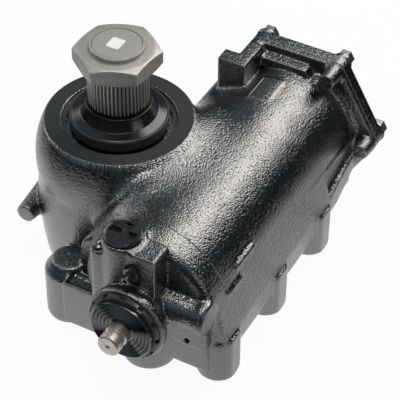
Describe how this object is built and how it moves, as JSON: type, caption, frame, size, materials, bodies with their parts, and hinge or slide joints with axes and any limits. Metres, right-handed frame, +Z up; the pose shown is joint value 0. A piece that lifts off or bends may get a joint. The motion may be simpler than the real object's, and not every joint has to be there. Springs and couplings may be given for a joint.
{
  "type": "integral power steering gear",
  "caption": "Integral hydraulic recirculating-ball steering gear: cast housing with a splined sector shaft and nut on top, an input shaft in front and a bolted rear cover.",
  "frame": {"origin": "centre of the four corner foot holes, in the plane of the mounting feet", "axes": "+Z up along the sector shaft, +Y along the piston towards the rear cover, +X across towards the side with three feet"},
  "size_m": [0.3317, 0.4602, 0.2869],
  "materials": {
    "black_casting": "glossy black paint over sand-cast iron",
    "black_plastic": "black transport plug",
    "dark_steel": "black-finished screws and nuts",
    "phosphated_steel": "grey-brown phosphated steel",
    "bright_steel": "ground steel",
    "black_rubber": "glossy black rubber",
    "label_white": "blank white label",
    "ball_steel": "polished bearing steel",
    "seal_ring": "sealing ring material",
    "bearing_bronze": "bearing bush"
  },
  "bodies": {
    "housing_body": {"housing": "black_casting", "rear_cover": "black_casting", "rear_cover_bolts": "dark_steel", "rear_cover_seal": "black_rubber", "rear_thrust_bearing": "ball_steel", "front_thrust_bearing": "ball_steel", "bearing_adjuster": "dark_steel", "input_dust_seal": "black_rubber", "input_needle_bearing": "bearing_bronze", "input_oil_seal": "black_rubber", "retaining_ring": "dark_steel", "upper_sector_bearing": "bearing_bronze", "lower_sector_bearing": "bearing_bronze", "sector_oil_seal": "black_rubber", "sector_backup_washer": "bright_steel", "bottom_cover": "black_casting", "bottom_retaining_ring": "dark_steel", "lash_screw": "dark_steel", "lash_nut": "dark_steel", "port_plug": "black_plastic", "return_plug": "black_plastic", "limiter_screw": "dark_steel", "limiter_nut": "dark_steel", "bleed_nipple": "dark_steel"},
    "sector_body": {"sector_shaft": "phosphated_steel", "shaft_nut": "phosphated_steel", "end_label": "label_white", "dust_boot": "black_rubber", "boot_ring": "dark_steel", "lash_retainer": "dark_steel"},
    "piston_body": {"piston_rack": "bright_steel", "piston_ring": "seal_ring", "piston_end_plug": "dark_steel", "recirculating_balls": "ball_steel"},
    "worm_body": {"worm": "bright_steel", "valve_sleeve": "bright_steel", "sleeve_rings": "seal_ring", "torsion_bar": "bright_steel"},
    "input_body": {"input_shaft": "bright_steel"}
  },
  "joints": [
    {"name": "sector_swing", "type": "hinge", "parent": "housing_body", "child": "sector_body", "pos_m": [-0.1, 0.0125, 0.2], "axis": [0, 0, 1], "range_deg": [-45, 45]},
    {"name": "piston_slide", "type": "slide", "parent": "housing_body", "child": "piston_body", "axis": [0, 1, 0], "range_m": [-0.0582, 0.0582]},
    {"name": "worm_turn", "type": "hinge", "parent": "housing_body", "child": "worm_body", "pos_m": [0.0215, -0.15, 0.097], "axis": [0, 1, 0], "range_deg": [-952, 952]},
    {"name": "input_twist", "type": "hinge", "parent": "worm_body", "child": "input_body", "pos_m": [0.0215, -0.19, 0.097], "axis": [0, 1, 0], "range_deg": [-7, 7], "stiffness_Nm_per_rad": 10}
  ],
  "couplings": [
    {"joint": "piston_slide", "follows": "sector_swing", "m_per_rad": 0.074},
    {"joint": "worm_turn", "follows": "sector_swing", "ratio": -21.134}
  ]
}
